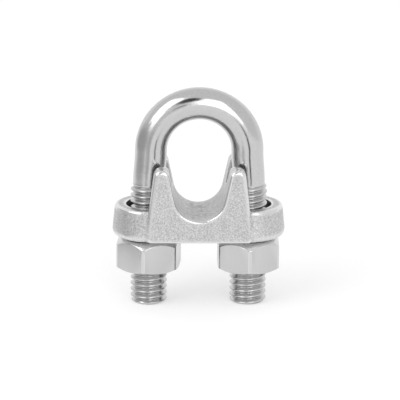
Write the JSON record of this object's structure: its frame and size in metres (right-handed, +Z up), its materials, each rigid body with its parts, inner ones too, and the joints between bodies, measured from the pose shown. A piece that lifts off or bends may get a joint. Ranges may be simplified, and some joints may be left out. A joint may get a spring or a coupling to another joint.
{
  "type": "wire rope clip",
  "caption": "U-bolt clamp that grips wire rope: a bent rod with threaded legs, a cast saddle with a round seat between horns, and hexagon nuts beneath it.",
  "frame": {"origin": "on the ground, midway between the ends of the two legs", "axes": "+Z up along the legs towards the bow; X from leg to leg; the rope runs along Y"},
  "size_m": [0.028, 0.012, 0.0359],
  "materials": {
    "polished_rod": "polished, with the thread rolled on it",
    "cast_saddle": "as cast and tumbled: fine grain on the faces, brighter edges",
    "bright_nut": "satin flats with bright chamfers"
  },
  "bodies": {
    "u_bolt": {"u_bolt": "polished_rod"},
    "saddle": {"saddle": "cast_saddle"},
    "nut_left": {"nut_left": "bright_nut"},
    "nut_right": {"nut_right": "bright_nut"}
  },
  "joints": [
    {"name": "saddle_slide", "type": "slide", "parent": "u_bolt", "child": "saddle", "axis": [0, 0, 1], "range_m": [-0.0055, 0.0055]},
    {"name": "nut_left_spin", "type": "hinge", "parent": "saddle", "child": "nut_left", "pos_m": [-0.0081, 0, 0.00845], "axis": [0, 0, 1], "range_deg": [-1981, 1981]},
    {"name": "nut_right_spin", "type": "hinge", "parent": "saddle", "child": "nut_right", "pos_m": [0.0081, 0, 0.00845], "axis": [0, 0, 1], "range_deg": [-1981, 1981]}
  ],
  "couplings": [
    {"joint": "nut_left_spin", "follows": "saddle_slide", "rad_per_m": 6283.2},
    {"joint": "nut_right_spin", "follows": "saddle_slide", "rad_per_m": 6283.2}
  ]
}
